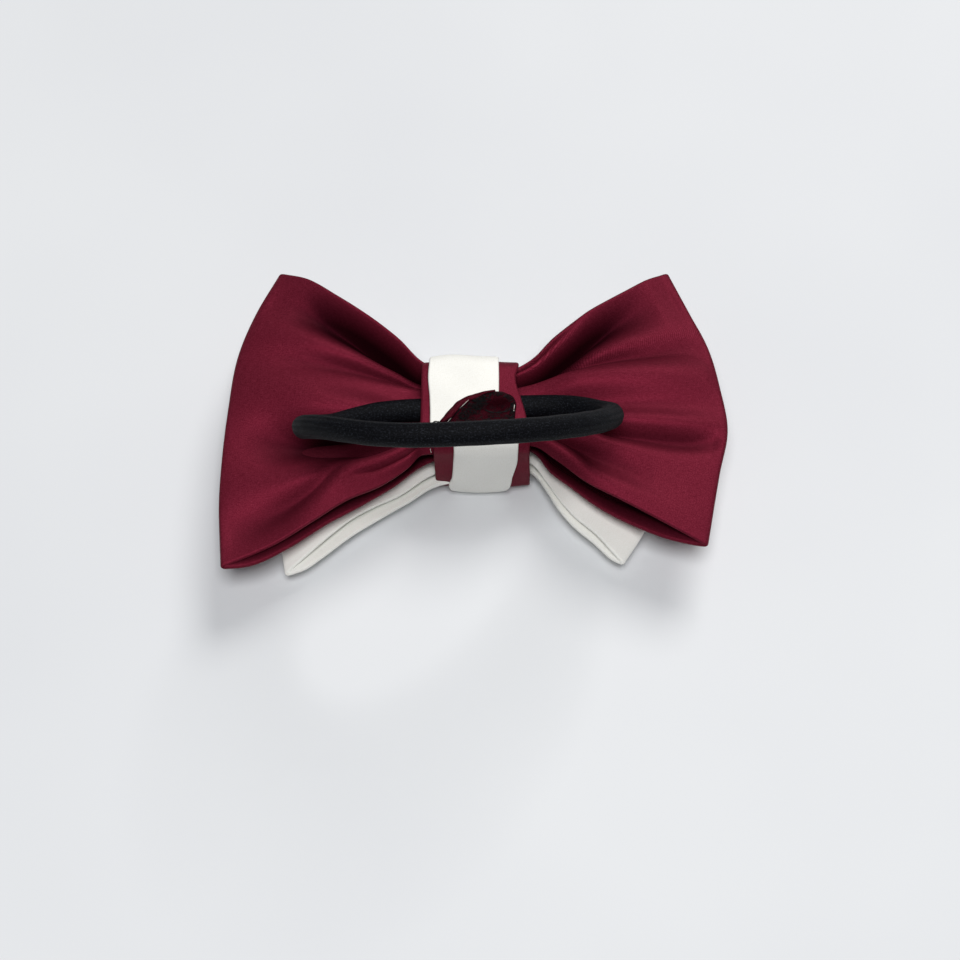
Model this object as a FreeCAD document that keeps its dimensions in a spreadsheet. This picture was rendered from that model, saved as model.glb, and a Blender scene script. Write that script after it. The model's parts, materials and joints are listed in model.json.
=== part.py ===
import FreeCAD, Part
import math
import os
import Sketcher

# A two-layer satin bow on an elastic loop, lying on the front of its centre knot.
# Frame: +X along the bow's width, +Y towards its upper edges, +Z out of its back.
# The origin is the centre of the knot's flat front face. Lengths are in millimetres.
# From front to back the knot holds: centre band, centre strap, waist of the inner bow,
# waist of the outer bow, the elastic in its tunnel, then the strap and the band again.

Vector = FreeCAD.Vector

SIZES = [
    # Centre band and strap, both closed wraps round the knot
    ("ease", 0.05),                 # gap between pieces sewn face to face
    ("wrap_cloth", 0.8),            # folded cloth of the band and the strap
    ("band_half_width", 6.9),
    ("band_half_height", 10.9),
    ("band_depth", 21.0),
    ("band_corner", 2.9),
    ("strap_half_width", 10.6),
    # Waists, each gathered and bound with a flat winding of thread
    ("waist_half_length", 14.6),
    ("waist_half_height", 8.8),
    ("waist_corner", 1.2),
    ("winding_thickness", 0.25),
    ("winding_half_width", 2.0),
    # Cloth of both bows: satin outside, interfacing in the middle
    ("bow_cloth", 1.2),
    ("satin_skin", 0.35),
    ("satin_hem_angle", 1.5),
    ("hollow_start", 1.5),
    ("interfacing_start", 1.0),
    ("panel_bow", 150.0),           # radius of the panels' outward curve
    ("fold_ratio", 1.04),           # fold radius over half the loop's thickness
    # Outer bow: each loop is a fan about an upright axis beyond the middle of the knot
    ("outer_axis", -3.0),
    ("outer_half_angle", 36.0),
    ("outer_neck_radius", 17.06),
    ("outer_neck_height", 10.8),
    ("outer_neck_thickness", 5.8),
    ("outer_fold_radius", 49.9),
    ("outer_fold_height", 14.2),
    ("outer_fold_thickness", 7.0),
    # Inner bow
    ("inner_axis", -0.8),
    ("inner_half_angle", 40.0),
    ("inner_neck_radius", 15.14),
    ("inner_neck_height", 4.625),
    ("inner_neck_thickness", 5.35),
    ("inner_fold_radius", 40.2),
    ("inner_fold_height", 5.0),
    ("inner_fold_thickness", 5.0),
    # Elastic loop: an oval of round braided elastic with one straight side
    ("elastic_radius", 2.2),
    ("bore_radius", 1.6),
    ("core_radius", 1.5),
    ("tunnel_height", 17.0),        # axis of the elastic inside the knot
    ("loop_top", 47.3),
    ("loop_crown", -6.9),           # where the oval's top lies along its width
    ("loop_right", 25.4),
    ("loop_left", -32.3),
    ("loop_lean", 33.0),            # degrees from upright, towards -Y
    ("loop_yaw", 2.0),              # degrees about the upright axis
    ("joint_half_length", 3.0),
    # Raw end of the strap, folded on the back of the knot, its edge stitching and cut threads
    ("tab_half_length", 8.1),
    ("tab_lower", -7.4),
    ("tab_fold", -1.6),
    ("tab_thickness", 2.4),
    ("tab_lower_thickness", 1.25),
    ("tab_cloth", 0.55),
    ("tab_bow", 14.0),
    ("tab_turn", 15.0),
    ("tab_shift", -0.5),
    ("overlock_radius", 0.35),
    ("tail_radius", 0.18),
    ("tail_length", 2.2),
    ("tail_left", -9.6),
    ("tail_lower", -7.4),
    ("tail_pitch", 1.6),
]

doc = FreeCAD.newDocument("satin_bow")
sheet = doc.addObject("Spreadsheet::Sheet", "Sizes")
for row, (alias, number) in enumerate(SIZES, 1):
    sheet.set(f"A{row}", alias)
    sheet.set(f"B{row}", str(number))
    sheet.setAlias(f"B{row}", alias)
doc.recompute()


def value(expression):
    """The number that an expression on the sheet gives now."""
    return sheet.evalExpression(expression)


def size(alias):
    return value(f"Sizes.{alias}")


def new_body(label):
    body = doc.addObject("PartDesign::Body", label)
    body.Label = label
    return body


def origin_plane(body, role):
    return next(item for item in body.Origin.OriginFeatures if item.Role == role)


def new_sketch(body, name, role, offset=None):
    """A sketch on one of the body's origin planes, moved off it by an expression."""
    sketch = body.newObject("Sketcher::SketchObject", name)
    sketch.AttachmentSupport = [(origin_plane(body, role), "")]
    sketch.MapMode = "FlatFace"
    if offset:
        sketch.setExpression("AttachmentOffset.Base.z", offset)
    return sketch


def bind(sketch, kind, places, expression):
    """Add a constraint and tie its value to the sheet."""
    index = sketch.addConstraint(Sketcher.Constraint(kind, *places, value(expression)))
    sketch.setExpression(f"Constraints[{index}]", expression)


def pin(sketch, edge, end, across, up):
    bind(sketch, "DistanceX", (-1, 1, edge, end), across)
    bind(sketch, "DistanceY", (-1, 1, edge, end), up)


def bulge(start, end, radius):
    """The arc from start to end. It stands out to the right of the way it runs,
    or to the left where the radius is negative."""
    chord = end - start
    rise = abs(radius) - math.sqrt(radius ** 2 - chord.Length ** 2 / 4)
    outward = Vector(chord.y, -chord.x, 0).normalize() * math.copysign(rise, radius)
    return Part.Arc(start, (start + end) / 2 + outward, end)


def outline(sketch, corners, closed=True):
    """Draw sides through corners, each (across, up, radius of the side that leaves it).

    A radius of None is a straight side. Corners run anticlockwise, so an arc stands out
    from the outline, or into it where its radius is negative.
    """
    points = [Vector(value(across), value(up), 0) for across, up, _ in corners]
    sides = []
    for start in range(len(points) if closed else len(points) - 1):
        across, up, radius = corners[start]
        first, last = points[start], points[(start + 1) % len(points)]
        if radius is None:
            side = Part.LineSegment(first, last)
        else:
            side = bulge(first, last, value(radius))
        edge = sketch.addGeometry(side, False)
        near = 1 if sketch.getPoint(edge, 1).distanceToPoint(first) < 1e-6 else 2
        sides.append((edge, near, 3 - near))
        pin(sketch, edge, near, across, up)
        if radius is not None:
            bind(sketch, "Radius", (edge,), f"abs({radius})")
    for start, (edge, near, _) in enumerate(sides):
        before, _, far = sides[start - 1]
        if closed or start > 0:
            sketch.addConstraint(Sketcher.Constraint("Coincident", before, far, edge, near))
    if not closed:
        edge, _, far = sides[-1]
        pin(sketch, edge, far, corners[-1][0], corners[-1][1])


def circle(sketch, across, up, radius):
    centre = Vector(value(across), value(up), 0)
    edge = sketch.addGeometry(Part.Circle(centre, Vector(0, 0, 1), value(radius)), False)
    pin(sketch, edge, 3, across, up)
    bind(sketch, "Radius", (edge,), radius)


def rounded_rectangle(sketch, half_height, low, high, corner):
    """A rectangle about the upright axis of the sketch, with arcs at its corners."""
    left, right = f"-({half_height})", f"({half_height})"
    outline(sketch, [
        (f"{left} + {corner}", low, None),
        (f"{right} - {corner}", low, corner),
        (right, f"{low} + {corner}", None),
        (right, f"{high} - {corner}", corner),
        (f"{right} - {corner}", high, None),
        (f"{left} + {corner}", high, corner),
        (left, f"{high} - {corner}", None),
        (left, f"{low} + {corner}", corner),
    ])


def pad_both_ways(body, sketch, half_length):
    pad = body.newObject("PartDesign::Pad", f"{sketch.Label}_pad")
    pad.Profile = sketch
    pad.Midplane = True
    pad.setExpression("Length", f"2 * {half_length}")


def wrap(label, half_height, low, high, corner, cloth, half_width):
    """A closed wrap of cloth round the knot, running in the YZ plane."""
    body = new_body(label)
    sketch = new_sketch(body, f"{label}_section", "YZ_Plane")
    rounded_rectangle(sketch, half_height, low, high, corner)
    rounded_rectangle(sketch, f"({half_height} - {cloth})", f"({low} + {cloth})",
                      f"({high} - {cloth})", f"({corner} - {cloth})")
    pad_both_ways(body, sketch, half_width)


def half_thickness(bow, place, depth):
    return f"(Sizes.{bow}_{place}_thickness / 2 - {depth})"


def loop_corner(bow, place, level, depth, start="0"):
    """Across and up of a loop's corner, some depth of cloth inside the loop's outside.

    Place is neck or fold. Level is -1 on the front panel and 1 on the back panel. Start
    is how far outside the neck the outline begins.
    """
    across = f"Sizes.{bow}_axis + Sizes.{bow}_{place}_radius + {start}"
    up = f"Sizes.{bow}_{place}_height + {level} * {half_thickness(bow, place, depth)}"
    return across, up


def fold_radius(bow, depth):
    return f"(Sizes.fold_ratio * {half_thickness(bow, 'fold', depth)})"


def loop_outline(sketch, bow, depth, start):
    """A loop in its radial section: a neck, two bowed panels and a round fold."""
    outline(sketch, [
        (*loop_corner(bow, "neck", -1, depth, start), "Sizes.panel_bow"),
        (*loop_corner(bow, "fold", -1, depth), fold_radius(bow, depth)),
        (*loop_corner(bow, "fold", 1, depth), "Sizes.panel_bow"),
        (*loop_corner(bow, "neck", 1, depth, start), None),
    ])


def layer_outline(sketch, bow, outside, inside, start):
    """The U of one layer inside a loop's cloth, between two depths from its outside."""
    outline(sketch, [
        (*loop_corner(bow, "neck", -1, outside, start), "Sizes.panel_bow"),
        (*loop_corner(bow, "fold", -1, outside), fold_radius(bow, outside)),
        (*loop_corner(bow, "fold", 1, outside), "Sizes.panel_bow"),
        (*loop_corner(bow, "neck", 1, outside, start), None),
        (*loop_corner(bow, "neck", 1, inside, start), "-Sizes.panel_bow"),
        (*loop_corner(bow, "fold", 1, inside), f"-{fold_radius(bow, inside)}"),
        (*loop_corner(bow, "fold", -1, inside), "-Sizes.panel_bow"),
        (*loop_corner(bow, "neck", -1, inside, start), None),
    ])


def fan_sketch(body, name, bow):
    """A sketch in the radial section of a bow's loop, with the fan's upright axis."""
    sketch = new_sketch(body, name, "XZ_Plane")
    axis = f"Sizes.{bow}_axis"
    top = "Sizes.band_depth"
    ends = Vector(value(axis), 0, 0), Vector(value(axis), value(top), 0)
    edge = sketch.addGeometry(Part.LineSegment(*ends), True)
    pin(sketch, edge, 1, axis, "0")
    pin(sketch, edge, 2, axis, top)
    return sketch


def revolve(body, kind, sketch, half_angle):
    """Turn a radial section about the fan's axis, half the angle to each side."""
    feature = body.newObject(f"PartDesign::{kind}", f"{sketch.Label}_turned")
    feature.Profile = sketch
    feature.ReferenceAxis = (sketch, ["Axis0"])
    feature.Midplane = True
    feature.setExpression("Angle", f"2 * ({half_angle})")
    return feature


def mirror_loops(body, features):
    """Repeat the right loop's features on the left of the knot."""
    mirror = body.newObject("PartDesign::Mirrored", f"{body.Label}_mirrored")
    mirror.Originals = features
    mirror.MirrorPlane = (origin_plane(body, "YZ_Plane"), [""])
    body.Tip = mirror


def waist_section(bow):
    half = half_thickness(bow, "neck", "0")
    centre = f"Sizes.{bow}_neck_height"
    return f"({centre} - {half})", f"({centre} + {half})"


def bow_satin(bow):
    """Both loops and the waist: cloth round a hollow, open at the upper and lower edges.

    A closed slot inside the cloth holds the interfacing.
    """
    body = new_body(f"{bow}_bow_satin")
    waist = new_sketch(body, f"{bow}_waist", "YZ_Plane")
    low, high = waist_section(bow)
    rounded_rectangle(waist, "Sizes.waist_half_height", low, high, "Sizes.waist_corner")
    pad_both_ways(body, waist, "Sizes.waist_half_length")

    outside = fan_sketch(body, f"{bow}_loop", bow)
    loop_outline(outside, bow, "0", "0")
    loop = revolve(body, "Revolution", outside, f"Sizes.{bow}_half_angle")

    inside = fan_sketch(body, f"{bow}_hollow", bow)
    loop_outline(inside, bow, "Sizes.bow_cloth", "Sizes.hollow_start")
    hollow = revolve(body, "Groove", inside, f"Sizes.{bow}_half_angle + 1")

    between = fan_sketch(body, f"{bow}_slot", bow)
    layer_outline(between, bow, "Sizes.satin_skin", "(Sizes.bow_cloth - Sizes.satin_skin)",
                  "Sizes.interfacing_start")
    slot = revolve(body, "Groove", between, f"Sizes.{bow}_half_angle - Sizes.satin_hem_angle")
    mirror_loops(body, [loop, hollow, slot])


def bow_interfacing(bow):
    """The stiffening that lies in the slot of each loop's cloth."""
    body = new_body(f"{bow}_bow_interfacing")
    sketch = fan_sketch(body, f"{bow}_layer", bow)
    layer_outline(sketch, bow, "(Sizes.satin_skin + Sizes.ease)",
                  "(Sizes.bow_cloth - Sizes.satin_skin - Sizes.ease)",
                  "(Sizes.interfacing_start + 2 * Sizes.ease)")
    layer = revolve(body, "Revolution", sketch,
                    f"Sizes.{bow}_half_angle - Sizes.satin_hem_angle - 4 * Sizes.ease")
    mirror_loops(body, [layer])


def gathering_thread(bow):
    """The flat winding of thread that binds a bow's waist."""
    low, high = waist_section(bow)
    wrap(f"{bow}_bow_gathering_thread", "(Sizes.waist_half_height + Sizes.winding_thickness)",
         f"({low} - Sizes.winding_thickness)", f"({high} + Sizes.winding_thickness)",
         "(Sizes.waist_corner + Sizes.winding_thickness)", "Sizes.winding_thickness",
         "Sizes.winding_half_width")


def centre_wraps():
    wrap("centre_band", "Sizes.band_half_height", "0", "Sizes.band_depth",
         "Sizes.band_corner", "Sizes.wrap_cloth", "Sizes.band_half_width")
    inset = "(Sizes.wrap_cloth + Sizes.ease)"
    wrap("centre_strap", f"(Sizes.band_half_height - {inset})", inset,
         f"(Sizes.band_depth - {inset})", f"(Sizes.band_corner - {inset})",
         "Sizes.wrap_cloth", "Sizes.strap_half_width")


def loop_placement():
    """The oval stands on its straight side in the tunnel and leans towards -Y."""
    lean = FreeCAD.Rotation(Vector(1, 0, 0), size("loop_lean"))
    yaw = FreeCAD.Rotation(Vector(0, 0, 1), size("loop_yaw"))
    return FreeCAD.Placement(Vector(0, 0, size("tunnel_height")), yaw * lean)


def oval(sketch, start, end):
    """The centreline of the elastic, from start to end along its straight side.

    The straight side lies on the sketch's X axis, and four tangent arcs close the oval.
    """
    right_top = "(Sizes.loop_right - Sizes.loop_crown)"
    left_top = "(Sizes.loop_crown - Sizes.loop_left)"
    right_low = f"(Sizes.loop_top - {right_top})"
    left_low = f"(Sizes.loop_top - {left_top})"
    outline(sketch, [
        (start, "0", None),
        (f"Sizes.loop_right - {right_low}", "0", right_low),
        ("Sizes.loop_right", right_low, right_top),
        ("Sizes.loop_crown", "Sizes.loop_top", left_top),
        ("Sizes.loop_left", left_low, left_low),
        (f"Sizes.loop_left + {left_low}", "0", None),
        (end, "0", None),
    ][:7 if start != end else 6], closed=start == end)


def elastic_run(body, kind, radius, start, end):
    """Sweep a round section along the oval, adding or taking away."""
    path = new_sketch(body, f"{body.Label}_{kind.lower()}_path", "XZ_Plane")
    oval(path, start, end)
    section = new_sketch(body, f"{body.Label}_{kind.lower()}_section", "YZ_Plane", start)
    circle(section, "0", "0", radius)
    pipe = body.newObject(f"PartDesign::{kind}", f"{body.Label}_{kind.lower()}")
    pipe.Profile = section
    pipe.Spine = path
    body.Placement = loop_placement()


def elastic_loop():
    """A braided cover over a rubber core, whose ends meet in a bonded joint."""
    cover = new_body("elastic_cover")
    elastic_run(cover, "AdditivePipe", "Sizes.elastic_radius", "0", "0")
    elastic_run(cover, "SubtractivePipe", "Sizes.bore_radius", "0", "0")
    gap = "(Sizes.joint_half_length + Sizes.ease)"
    elastic_run(new_body("elastic_core"), "AdditivePipe", "Sizes.core_radius", gap, f"-{gap}")
    body = new_body("elastic_bonded_joint")
    sketch = new_sketch(body, "joint_section", "YZ_Plane")
    circle(sketch, "0", "0", "Sizes.core_radius")
    pad_both_ways(body, sketch, "Sizes.joint_half_length")
    body.Placement = loop_placement()


def tab_placement():
    turn = FreeCAD.Rotation(Vector(0, 0, 1), size("tab_turn"))
    return FreeCAD.Placement(Vector(size("tab_shift"), 0, size("band_depth")), turn)


def strap_end():
    """The strap's raw end, folded over on the back of the knot, and its overlocked edge."""
    body = new_body("strap_end_tab")
    sketch = new_sketch(body, "tab_section", "YZ_Plane")
    top = "(Sizes.ease + Sizes.tab_thickness)"
    lower_top = "(Sizes.ease + Sizes.tab_lower_thickness)"
    cloth = "Sizes.tab_cloth"
    outline(sketch, [
        ("Sizes.tab_lower", "Sizes.ease", None),
        ("Sizes.tab_fold", "Sizes.ease", "Sizes.tab_thickness * 0.52"),
        ("Sizes.tab_fold", top, "Sizes.tab_bow"),
        ("Sizes.tab_lower", lower_top, None),
    ])
    outline(sketch, [
        (f"Sizes.tab_lower + {cloth}", f"Sizes.ease + {cloth}", None),
        ("Sizes.tab_fold", f"Sizes.ease + {cloth}",
         f"(Sizes.tab_thickness - 2 * {cloth}) * 0.52"),
        ("Sizes.tab_fold", f"{top} - {cloth}", "Sizes.tab_bow"),
        (f"Sizes.tab_lower + {cloth}", f"{lower_top} - {cloth} * 0.9", None),
    ])
    pad_both_ways(body, sketch, "Sizes.tab_half_length")
    body.Placement = tab_placement()

    body = new_body("overlock_thread")
    sketch = new_sketch(body, "overlock_section", "YZ_Plane")
    reach = "Sizes.tab_fold + Sizes.tab_thickness / 2 + Sizes.overlock_radius + Sizes.ease"
    circle(sketch, reach, "Sizes.tab_thickness / 2", "Sizes.overlock_radius")
    pad_both_ways(body, sketch, "(Sizes.tab_half_length - Sizes.overlock_radius)")
    body.Placement = tab_placement()


def tacking_thread():
    """Two cut thread ends that lie on the strap beside the band."""
    ends = []
    for number in range(2):
        end = doc.addObject("Part::Cylinder", f"tacking_end_{number + 1}")
        end.setExpression("Radius", "Sizes.tail_radius")
        end.setExpression("Height", "Sizes.tail_length")
        end.Placement.Rotation = FreeCAD.Rotation(Vector(0, 1, 0), 90)
        end.setExpression("Placement.Base.x", "Sizes.tail_left")
        end.setExpression("Placement.Base.y", f"Sizes.tail_lower + {number} * Sizes.tail_pitch")
        end.setExpression("Placement.Base.z",
                          "Sizes.band_depth - Sizes.wrap_cloth + Sizes.tail_radius")
        ends.append(end)
    thread = doc.addObject("Part::Compound", "tacking_thread")
    thread.Label = "tacking_thread"
    thread.Links = ends


NODES = []
for bow in ("outer", "inner"):
    bow_satin(bow)
    bow_interfacing(bow)
    gathering_thread(bow)
    NODES += [f"{bow}_bow_satin", f"{bow}_bow_interfacing", f"{bow}_bow_gathering_thread"]
centre_wraps()
elastic_loop()
strap_end()
tacking_thread()
NODES += ["centre_band", "centre_strap", "elastic_cover", "elastic_core",
          "elastic_bonded_joint", "strap_end_tab", "overlock_thread", "tacking_thread"]
doc.recompute()

failed = [item.Label for item in doc.Objects if {"Invalid", "Error"} & set(item.State)]
if failed:
    raise RuntimeError(f"failed objects: {failed}")

os.makedirs("parts", exist_ok=True)
for label in NODES:
    shape = doc.getObjectsByLabel(label)[0].Shape
    if shape.isNull() or not shape.isValid() or not shape.Solids:
        raise RuntimeError(f"{label} is not a valid solid")
    shape.exportStep(f"parts/{label}.step")
    box = shape.BoundBox
    print(f"{label:28s} solids {len(shape.Solids)}  volume {shape.Volume:9.1f} mm3  "
          f"x {box.XMin:6.1f}..{box.XMax:5.1f}  y {box.YMin:6.1f}..{box.YMax:5.1f}  "
          f"z {box.ZMin:5.1f}..{box.ZMax:5.1f}")
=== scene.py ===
import json
import math
import random

import bmesh
import bpy
import numpy as np
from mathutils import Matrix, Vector


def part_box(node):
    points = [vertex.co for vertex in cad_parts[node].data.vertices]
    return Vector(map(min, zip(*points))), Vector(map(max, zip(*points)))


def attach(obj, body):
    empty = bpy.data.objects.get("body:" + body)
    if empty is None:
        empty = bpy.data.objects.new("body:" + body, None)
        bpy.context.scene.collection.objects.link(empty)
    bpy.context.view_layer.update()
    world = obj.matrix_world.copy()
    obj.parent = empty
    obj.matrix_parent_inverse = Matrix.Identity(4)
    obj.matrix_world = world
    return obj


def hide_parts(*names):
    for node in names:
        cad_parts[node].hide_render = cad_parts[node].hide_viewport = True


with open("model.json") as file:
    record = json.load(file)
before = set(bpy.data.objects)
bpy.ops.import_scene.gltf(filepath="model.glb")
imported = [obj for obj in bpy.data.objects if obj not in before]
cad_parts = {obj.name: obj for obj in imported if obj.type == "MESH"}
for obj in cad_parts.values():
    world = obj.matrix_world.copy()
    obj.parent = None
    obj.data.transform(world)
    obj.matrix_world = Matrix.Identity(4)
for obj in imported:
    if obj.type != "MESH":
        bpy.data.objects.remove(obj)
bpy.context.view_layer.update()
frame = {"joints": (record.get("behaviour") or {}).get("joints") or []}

# A two-layer satin bow on an elastic loop, lying on the front of its knot.
# Shapes are worked out in millimetres, in the frame's own axes: +X along the width,
# +Y towards the upper edges, +Z out of the bow's back. They become metres in new_mesh.

MM = 0.001
INNER_SHADE = 0.7            # painted shade on the inner sides of the loops, 0 to 1
TWILL = 0.22                # millimetres from one twill line to the next


def box(node):
    """A node's lowest and highest corners in millimetres."""
    low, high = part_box(node)
    return np.array(low) / MM, np.array(high) / MM


# ---- curves and grids

def cubic(stations, values, slopes, where):
    """Values at stations joined by cubic pieces that have the given slopes there."""
    left = np.clip(np.searchsorted(stations, where, side="right") - 1, 0, len(stations) - 2)
    width = stations[left + 1] - stations[left]
    u = where - stations[left]
    if values.ndim > 1:
        width, u = width[..., None], u[..., None]
    u = u / width
    return ((2 * u ** 3 - 3 * u ** 2 + 1) * values[left] + (u ** 3 - 2 * u ** 2 + u) * width * slopes[left]
            + (-2 * u ** 3 + 3 * u ** 2) * values[left + 1] + (u ** 3 - u ** 2) * width * slopes[left + 1])


def smooth_steps(stations, values, where):
    """Values at stations, joined without corners and without overshoot."""
    stations, values = np.asarray(stations, float), np.asarray(values, float)
    slopes = np.gradient(values, stations)
    rises = np.diff(values) / np.diff(stations)
    for place in range(1, len(stations) - 1):
        if rises[place - 1] * rises[place] <= 0:
            slopes[place] = 0
    return cubic(stations, values, slopes, np.clip(where, stations[0], stations[-1]))


def through(points, where):
    """Points on a smooth curve through the given ones, by share of its length."""
    points = np.asarray(points, float)
    steps = np.linalg.norm(np.diff(points, axis=0), axis=1)
    stations = np.concatenate([[0], np.cumsum(steps)]) / steps.sum()
    return cubic(stations, points, np.gradient(points, stations, axis=0), where)


def ease(value):
    value = np.clip(value, 0, 1)
    return value * value * (3 - 2 * value)


def wave_noise(seed, across, along, waves, count=5):
    """Smooth seeded unevenness between about -1 and 1."""
    chance = random.Random(seed)
    total = np.zeros(np.broadcast(across, along).shape)
    for _ in range(count):
        total += math.sqrt(2 / count) * np.sin(
            across * waves * chance.uniform(0.4, 1.3) * chance.choice((-1, 1))
            + along * waves * chance.uniform(0.4, 1.3) + chance.uniform(0, math.tau))
    return total / 1.6


def grid_normals(grid, closed):
    """Unit normals of a grid of points, closed or open along its first axis."""
    if closed:
        along = np.roll(grid, -1, axis=0) - np.roll(grid, 1, axis=0)
    else:
        along = np.gradient(grid, axis=0)
    across = np.gradient(grid, axis=1)
    normal = np.cross(along, across)
    return normal / np.maximum(np.linalg.norm(normal, axis=-1, keepdims=True), 1e-9)


def blur_along(grid, amount):
    """Round a closed grid along its first axis. Amount is 0 to 1 for each row."""
    before, after = np.roll(grid, 1, axis=0), np.roll(grid, -1, axis=0)
    return grid + amount[:, None, None] * ((before + after) / 2 - grid)


def lengths(grid, axis, middle):
    """Distance along one axis of a grid from its middle row or column."""
    steps = np.linalg.norm(np.diff(grid, axis=axis), axis=-1)
    total = np.cumsum(np.insert(steps, 0, 0, axis=axis), axis=axis)
    return total - np.take(total, [middle], axis=axis)


def new_mesh(name, points, faces, uv=None, smooth=True):
    """A mesh piece from points in millimetres. UVs are given per point."""
    mesh = bpy.data.meshes.new(name)
    mesh.from_pydata((np.asarray(points) * MM).tolist(), [], faces)
    if uv is not None:
        layer = mesh.uv_layers.new(name="cloth")
        corners = np.zeros(len(mesh.loops), dtype=np.int32)
        mesh.loops.foreach_get("vertex_index", corners)
        layer.data.foreach_set("uv", np.asarray(uv, float)[corners].ravel())
    mesh.polygons.foreach_set("use_smooth", [smooth] * len(mesh.polygons))
    mesh.update()
    piece = bpy.data.objects.new(name, mesh)
    bpy.context.scene.collection.objects.link(piece)
    return piece


def edge_shape(count, hem, width):
    """Places across a cloth from -1 to 1, closer at its edges, and its thickness there.

    The edges are folds of the cloth, so its thickness rounds off to nothing over the hem.
    """
    share = hem / width
    middle = np.linspace(-1 + share * 1.02, 1 - share * 1.02, count)
    rim = 1 - share + share * np.sin(np.linspace(0.12, math.pi / 2, 6))
    places = np.concatenate([-rim[::-1], middle, rim])
    inside = np.clip((np.abs(places) - (1 - share)) / share, 0, 1)
    return places, np.sqrt(np.maximum(1 - inside ** 2, 0))


def cloth_solid(name, grid, thickness, closed=True, painted_shade=None):
    """A closed solid of cloth about a grid, with rounded edges along its second axis.

    Thickness is in millimetres, one value for each point, and 0 at the edges. The last argument is
    the painted shade of the folds' valleys on the outer side at each point, from 0 to 1. The inner
    side is given painted shade of INNER_SHADE all over, up to its edges, for the shade inside the
    loops. The painted shade is colour only and doesn't follow the light.
    """
    rows, columns = grid.shape[:2]
    normals = grid_normals(grid, closed)
    half = np.broadcast_to(thickness, grid.shape[:2])[..., None] / 2
    upper, lower = grid + normals * half, grid - normals * half
    u = lengths(grid, 0, 0)
    v = lengths(grid, 1, columns // 2)
    uv = np.stack([u, v], axis=-1)
    points = np.concatenate([upper.reshape(-1, 3), lower[:, 1:-1].reshape(-1, 3)])
    uvs = np.concatenate([uv.reshape(-1, 2), (uv[:, 1:-1] + (0, 7.3)).reshape(-1, 2)])
    top = np.arange(rows * columns).reshape(rows, columns)
    bottom = top.copy()
    bottom[:, 1:-1] = rows * columns + np.arange(rows * (columns - 2)).reshape(rows, columns - 2)
    ahead = np.roll(np.arange(rows), -1)
    last = rows if closed else rows - 1
    faces = []
    for sheet, flip in ((top, False), (bottom, True)):
        a, b = sheet[:last, :-1], sheet[:last, 1:]
        c, d = sheet[ahead[:last], 1:], sheet[ahead[:last], :-1]
        quads = np.stack([a, d, c, b] if not flip else [a, b, c, d], axis=-1).reshape(-1, 4)
        faces += quads.tolist()
    piece = new_mesh(name, points, faces, uvs)
    if painted_shade is not None:
        # Painted shade: the outer side takes the given shade of the valleys, and the inner side takes
        # INNER_SHADE of shade inside the loop, easing off towards the edges.
        from_edge = 1 - np.abs(np.linspace(-1, 1, columns))
        inner = np.broadcast_to(INNER_SHADE * ease(from_edge / 0.12), (rows, columns))
        on_back_panel = rows // 8               # an eighth of the way round is on a back panel
        upper_is_outer = normals[on_back_panel, columns // 2, 2] > 0
        first, second = (painted_shade, inner) if upper_is_outer else (inner, painted_shade)
        layer = piece.data.attributes.new("painted_shade", "FLOAT", "POINT")
        layer.data.foreach_set("value", np.concatenate([first.ravel(), second[:, 1:-1].ravel()]))
    if not closed:
        close_ends(piece, top, bottom)
    return piece


def close_ends(piece, top, bottom):
    """Fill the two open ends of a cloth that doesn't meet itself."""
    mesh = piece.data
    build = bmesh.new()
    build.from_mesh(mesh)
    build.verts.ensure_lookup_table()
    for row, flip in ((0, False), (-1, True)):
        loop = list(top[row]) + list(bottom[row][-2:0:-1])
        verts = [build.verts[index] for index in loop]
        build.faces.new(verts if flip else verts[::-1])
    bmesh.ops.recalc_face_normals(build, faces=build.faces)
    build.to_mesh(mesh)
    build.free()
    mesh.update()


# ---- materials

class Nodes:
    """A short way to write a node tree."""

    def __init__(self, name):
        self.material = bpy.data.materials.new(name)
        self.material.use_nodes = True
        self.tree = self.material.node_tree
        self.tree.nodes.clear()
        self.shader = self.add("ShaderNodeBsdfPrincipled")
        output = self.add("ShaderNodeOutputMaterial")
        self.join(self.shader.outputs["BSDF"], output.inputs["Surface"])

    def add(self, kind, inputs=None, **settings):
        node = self.tree.nodes.new(kind)
        for key, setting in settings.items():
            setattr(node, key, setting)
        for key, source in (inputs or {}).items():
            self.set(node.inputs[key], source)
        return node

    def set(self, socket, source):
        if isinstance(source, bpy.types.NodeSocket):
            self.join(source, socket)
        else:
            socket.default_value = source

    def surface(self, inputs):
        for key, source in inputs.items():
            self.set(self.shader.inputs[key], source)

    def join(self, source, socket):
        self.tree.links.new(source, socket)

    def math(self, operation, *values):
        node = self.add("ShaderNodeMath", operation=operation)
        for socket, source in zip(node.inputs, values):
            self.set(socket, source)
        return node.outputs[0]

    def mix(self, factor, first, second):
        node = self.add("ShaderNodeMix", data_type="RGBA")
        self.set(node.inputs["Factor"], factor)
        self.set(node.inputs[6], first)
        self.set(node.inputs[7], second)
        return node.outputs[2]

    def noise(self, vector, scale, detail=2.0, roughness=0.5):
        node = self.add("ShaderNodeTexNoise", {"Vector": vector, "Scale": scale, "Detail": detail,
                                               "Roughness": roughness})
        return node.outputs["Fac"]

    def stretch(self, source, scale, turn=0.0):
        node = self.add("ShaderNodeMapping", {"Vector": source, "Scale": scale,
                                              "Rotation": (0, 0, turn)})
        return node.outputs["Vector"]

    def ramp(self, factor, *stops):
        node = self.add("ShaderNodeValToRGB", {"Fac": factor})
        node.color_ramp.elements[0].position, node.color_ramp.elements[0].color = stops[0]
        node.color_ramp.elements[1].position, node.color_ramp.elements[1].color = stops[-1]
        for place, colour in stops[1:-1]:
            node.color_ramp.elements.new(place).color = colour
        return node.outputs["Color"]


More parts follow.
